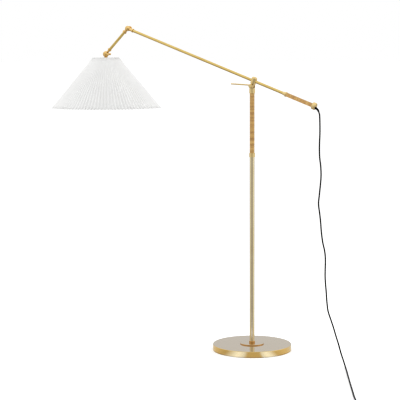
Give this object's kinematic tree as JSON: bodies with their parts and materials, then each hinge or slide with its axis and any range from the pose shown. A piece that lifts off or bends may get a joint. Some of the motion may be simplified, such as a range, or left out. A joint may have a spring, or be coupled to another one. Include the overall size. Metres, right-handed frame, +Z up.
{
  "type": "bridge floor lamp",
  "caption": "Floor lamp with a round weighted base, cane-wrapped post and handle, counterweighted tilting arm, hinged short arm and pleated cone shade, with its cord.",
  "frame": {"origin": "on the floor, at the centre of the base underside", "axes": "+Z up along the post; the arm lies in the XZ plane at rest, its handle towards +X and the shade towards -X; the clamp lever is on the -Y side"},
  "size_m": [1.9105, 1.0955, 1.4749],
  "materials": {
    "felt": "dense dark felt",
    "cast_weight": "cast, unpainted",
    "zinc_steel": "zinc plated",
    "satin_rim": "satin, polished top face",
    "gold_brass": "satin gold brass, lacquered",
    "pale_brass": "pale satin brass, lacquered",
    "tube_steel": "plain drawn tube, under the cane",
    "cane": "split cane, lacquered",
    "black_vinyl": "smooth matte",
    "black_strap": "matte strap",
    "blade_metal": "plain stamped",
    "pleated_cloth": "white cloth, knife pleated, lined",
    "white_wire": "white coated wire",
    "porcelain": "moulded insulator",
    "switch_plastic": "moulded key",
    "bulb_metal": "plain threaded cap",
    "frosted_glass": "frosted white"
  },
  "bodies": {
    "root": {"felt_pad": "felt", "base_weight": "cast_weight", "base_bolt": "zinc_steel", "base_washer": "zinc_steel", "base_cover": "satin_rim", "centre_plate": "gold_brass", "post_collar": "gold_brass", "post_foot": "tube_steel", "lower_post": "pale_brass", "lower_ferrule": "gold_brass", "upper_post": "tube_steel", "post_cane": "cane", "upper_ferrule": "gold_brass", "swivel_washer": "zinc_steel"},
    "head": {"swivel_stud": "zinc_steel", "swivel_nut": "zinc_steel", "head_yoke": "gold_brass", "pivot_screw": "zinc_steel", "pivot_nut": "gold_brass", "power_cord": "black_vinyl", "cord_coil": "black_vinyl", "cord_tie": "black_strap", "plug_body": "black_vinyl", "plug_blades": "blade_metal"},
    "lever": {"lever_hub": "gold_brass", "clamp_lever": "gold_brass"},
    "arm": {"tilt_washers": "zinc_steel", "tilt_block": "gold_brass", "block_grub": "zinc_steel", "arm_tube": "gold_brass", "handle_ferrule": "gold_brass", "counterweight": "cast_weight", "handle_cane": "cane", "end_cap": "gold_brass", "cord_gland": "black_vinyl", "arm_lead": "black_vinyl", "elbow_back_half": "gold_brass"},
    "elbow_knob": {"elbow_knob": "gold_brass"},
    "short_arm": {"elbow_front_half": "gold_brass", "elbow_screw": "gold_brass", "short_arm_tube": "gold_brass", "short_arm_lead": "black_vinyl", "knuckle_back_half": "gold_brass", "knuckle_screw": "gold_brass"},
    "shade_knob": {"knuckle_knob": "gold_brass"},
    "shade": {"knuckle_front_half": "gold_brass", "shade_fitter": "gold_brass", "shade_bottom_ring": "white_wire", "pleated_shade": "pleated_cloth", "holder_nut": "zinc_steel", "holder_cap": "gold_brass", "holder_shell": "gold_brass", "holder_core": "porcelain", "bulb_cap": "bulb_metal", "bulb_glass": "frosted_glass"},
    "switch": {"switch_key": "switch_plastic"}
  },
  "joints": [
    {"name": "head_swivel", "type": "hinge", "parent": "root", "child": "head", "pos_m": [0, 0, 1.17], "axis": [0, 0, 1], "range_deg": [-170, 170]},
    {"name": "arm_tilt", "type": "hinge", "parent": "head", "child": "arm", "pos_m": [0, 0, 1.198], "axis": [0, 1, 0], "range_deg": [-35, 25]},
    {"name": "lever_turn", "type": "hinge", "parent": "head", "child": "lever", "pos_m": [0, 0, 1.198], "axis": [0, 1, 0], "range_deg": [-80, 80]},
    {"name": "elbow_hinge", "type": "hinge", "parent": "arm", "child": "short_arm", "pos_m": [-0.65943, 0, 1.46224], "axis": [0, 1, 0], "range_deg": [-15, 60]},
    {"name": "elbow_knob_turn", "type": "hinge", "parent": "short_arm", "child": "elbow_knob", "pos_m": [-0.65943, 0, 1.46224], "axis": [0, 1, 0], "range_deg": [-30, 270]},
    {"name": "shade_tilt", "type": "hinge", "parent": "short_arm", "child": "shade", "pos_m": [-0.78379, 0, 1.3434], "axis": [0, 1, 0], "range_deg": [-30, 60]},
    {"name": "shade_knob_turn", "type": "hinge", "parent": "short_arm", "child": "shade_knob", "pos_m": [-0.78379, 0, 1.3434], "axis": [0, 1, 0], "range_deg": [-30, 270]},
    {"name": "switch_turn", "type": "hinge", "parent": "shade", "child": "switch", "pos_m": [-0.78379, 0, 1.3043], "axis": [0, 1, 0], "range_deg": [0, 90]}
  ]
}
